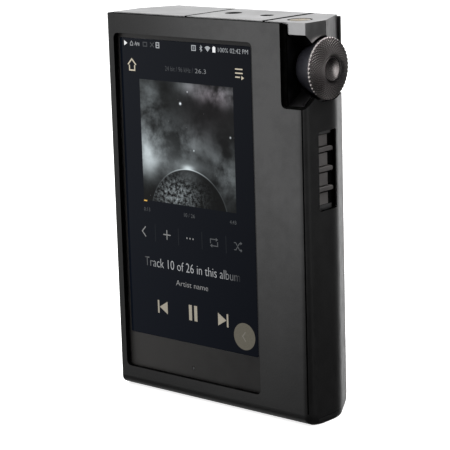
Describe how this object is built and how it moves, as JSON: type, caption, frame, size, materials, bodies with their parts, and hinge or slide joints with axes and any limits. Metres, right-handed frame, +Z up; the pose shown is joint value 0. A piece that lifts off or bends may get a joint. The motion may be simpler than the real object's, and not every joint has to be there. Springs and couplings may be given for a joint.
{
  "type": "digital audio player",
  "caption": "A metal digital audio player with a touch screen, a knurled side volume wheel, side buttons and top sockets, in an open-topped black leather case.",
  "frame": {"origin": "under the middle of the object's box, on the surface that it stands on", "axes": "+Z up along the player's length, +Y to the back, away from the screen, +X to the right as the screen is read, towards the volume wheel"},
  "size_m": [0.0946, 0.0318, 0.1413],
  "materials": {
    "leather": "smooth black leather, satin",
    "lining": "dark microfibre",
    "body_metal": "anodised dark grey, fine satin",
    "wheel_metal": "anodised gunmetal, knurled and turned",
    "bright_metal": "bright plated metal",
    "button_metal": "anodised, fine satin",
    "black_plastic": "matt black",
    "front_grey": "dark warm grey, satin",
    "glass": "glossy dark cover glass",
    "screen": "lit screen, dark blue",
    "board": "circuit board with green solder mask",
    "shield": "tinned steel",
    "gold": "gold-plated",
    "battery": "foil pouch with dark wrap",
    "foam": "closed-cell foam",
    "light": "clear diffuser",
    "flex": "amber flexible circuit"
  },
  "bodies": {
    "case": {"case_wrap": "leather", "case_bottom_panel": "leather", "case_back_panel": "leather", "case_lining": "lining"},
    "player": {"main_housing": "body_metal", "rear_cover": "body_metal", "front_plate": "front_grey", "wheel_bushing": "bright_metal", "large_socket_shell": "bright_metal", "charging_port": "bright_metal", "rear_cover_screw_1": "bright_metal", "rear_cover_screw_2": "bright_metal", "rear_cover_screw_3": "bright_metal", "rear_cover_screw_4": "bright_metal", "mainboard_screw_1": "bright_metal", "mainboard_screw_2": "bright_metal", "mainboard_screw_3": "bright_metal", "mainboard_screw_4": "bright_metal", "button_panel": "button_metal", "wheel_encoder": "black_plastic", "next_switch": "black_plastic", "play_switch": "black_plastic", "previous_switch": "black_plastic", "headphone_jack_collar": "black_plastic", "headphone_jack_body": "black_plastic", "balanced_jack_collar": "black_plastic", "balanced_jack_body": "black_plastic", "charging_port_tongue": "black_plastic", "top_strip_left": "black_plastic", "top_strip_right": "black_plastic", "cover_glass": "glass", "display_panel": "screen", "mainboard": "board", "audio_board": "board", "card_reader": "shield", "processor_shield": "shield", "memory_shield": "shield", "radio_shield": "shield", "power_shield": "shield", "audio_shield": "shield", "large_socket_contacts": "gold", "audio_capacitor_1": "gold", "audio_capacitor_2": "gold", "battery": "battery", "battery_foam": "foam", "home_light_lens": "light", "display_ribbon": "flex", "side_button_board": "flex", "aerial": "flex"},
    "wheel_press": {"wheel_collar": "gold"},
    "wheel": {"volume_wheel": "wheel_metal", "wheel_cap": "wheel_metal", "wheel_shaft": "bright_metal"},
    "next_key": {"next_button": "button_metal"},
    "play_key": {"play_button": "button_metal"},
    "previous_key": {"previous_button": "button_metal"},
    "card": {"memory_card": "black_plastic"}
  },
  "joints": [
    {"name": "player_lift", "type": "slide", "parent": "case", "child": "player", "axis": [0, 0, 1], "range_m": [0, 0.142]},
    {"name": "wheel_push", "type": "slide", "parent": "player", "child": "wheel_press", "axis": [-1, 0, 0], "range_m": [0, 0.0003], "stiffness_N_per_m": 2500},
    {"name": "wheel_turn", "type": "hinge", "parent": "wheel_press", "child": "wheel", "pos_m": [0.03682, -0.00382, 0.125], "axis": [1, 0, 0], "continuous": true},
    {"name": "next_press", "type": "slide", "parent": "player", "child": "next_key", "axis": [-1, 0, 0], "range_m": [0, 0.0004], "stiffness_N_per_m": 1500},
    {"name": "play_press", "type": "slide", "parent": "player", "child": "play_key", "axis": [-1, 0, 0], "range_m": [0, 0.0004], "stiffness_N_per_m": 1500},
    {"name": "previous_press", "type": "slide", "parent": "player", "child": "previous_key", "axis": [-1, 0, 0], "range_m": [0, 0.0004], "stiffness_N_per_m": 1500},
    {"name": "card_slide", "type": "slide", "parent": "player", "child": "card", "axis": [0, 0, -1], "range_m": [0, 0.016]}
  ]
}
